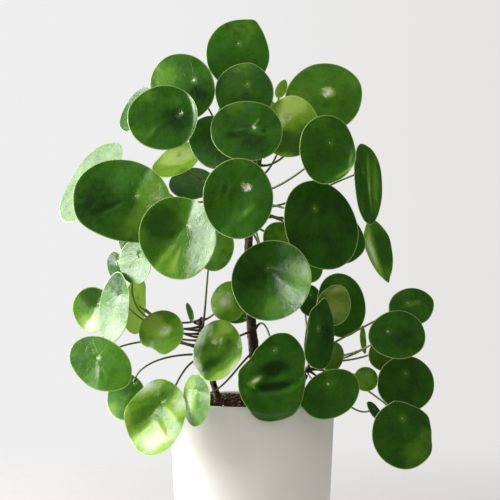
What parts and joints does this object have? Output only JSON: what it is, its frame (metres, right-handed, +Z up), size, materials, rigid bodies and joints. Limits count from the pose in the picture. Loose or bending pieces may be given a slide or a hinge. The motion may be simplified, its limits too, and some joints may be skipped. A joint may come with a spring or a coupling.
{
  "type": "potted chinese money plant",
  "caption": "House plant with round shield-shaped leaves on long petioles, a woody stem and side shoots, in a plain white tapered pot.",
  "frame": {"origin": "middle of the pot's flat underside", "axes": "+Z up through the pot; -Y is the front, the side that the picture shows; +X to the right as seen from the front"},
  "size_m": [0.3412, 0.2044, 0.4855],
  "materials": {
    "pot_glaze": "smooth white glaze, soft satin shine",
    "potting_soil": "dark brown crumbly peat with bark chips and a few white specks",
    "stem_bark": "dark reddish brown stem, ringed with leaf scars",
    "leaf": "waxy deep green upper side with a pale dot and faint veins, lighter matt underside"
  },
  "bodies": {
    "root": {"leaf_back_high": "leaf", "leaf_back_left": "leaf", "leaf_back_low": "leaf", "leaf_back_right": "leaf", "leaf_crown_bright": "leaf", "leaf_crown_glow": "leaf", "leaf_crown_inner": "leaf", "leaf_crown_left_back": "leaf", "leaf_crown_left_front": "leaf", "leaf_crown_left_high": "leaf", "leaf_crown_mid": "leaf", "leaf_crown_right_front": "leaf", "leaf_crown_right_high": "leaf", "leaf_crown_right_low": "leaf", "leaf_crown_right_tuck": "leaf", "leaf_crown_shade": "leaf", "leaf_crown_top": "leaf", "leaf_crown_upper": "leaf", "leaf_front_left": "leaf", "leaf_front_low": "leaf", "leaf_front_middle": "leaf", "leaf_front_rim": "leaf", "leaf_low_inner_left": "leaf", "leaf_low_inner_right": "leaf", "leaf_right_brown": "leaf", "leaf_right_far_bottom": "leaf", "leaf_right_far_edge": "leaf", "leaf_right_far_low": "leaf", "leaf_right_far_mid": "leaf", "leaf_right_far_top": "leaf", "leaf_right_far_tuck": "leaf", "leaf_right_inner_front": "leaf", "leaf_right_lower_tuck": "leaf", "leaf_right_rim": "leaf", "leaf_right_small": "leaf", "leaf_right_tuck": "leaf", "leaf_right_upper_back": "leaf", "leaf_shoot_left_bright": "leaf", "leaf_shoot_left_curl": "leaf", "leaf_shoot_left_far": "leaf", "leaf_shoot_left_front": "leaf", "leaf_shoot_left_hidden": "leaf", "leaf_shoot_left_low": "leaf", "leaf_shoot_left_sheen": "leaf", "leaf_shoot_left_slim": "leaf", "leaf_shoot_left_strip": "leaf", "leaf_shoot_left_tuck": "leaf", "leaf_shoot_left_under": "leaf", "leaf_shoot_mid_front": "leaf", "leaf_shoot_mid_sliver": "leaf", "leaf_shoot_mid_upper": "leaf", "leaf_side_left_large": "leaf", "leaf_side_left_pale": "leaf", "leaf_side_right_edge": "leaf", "leaf_side_right_fold": "leaf", "left_shoot": "stem_bark", "main_stem": "stem_bark", "pot": "pot_glaze", "right_shoot": "stem_bark", "soil": "potting_soil"}
  },
  "joints": []
}
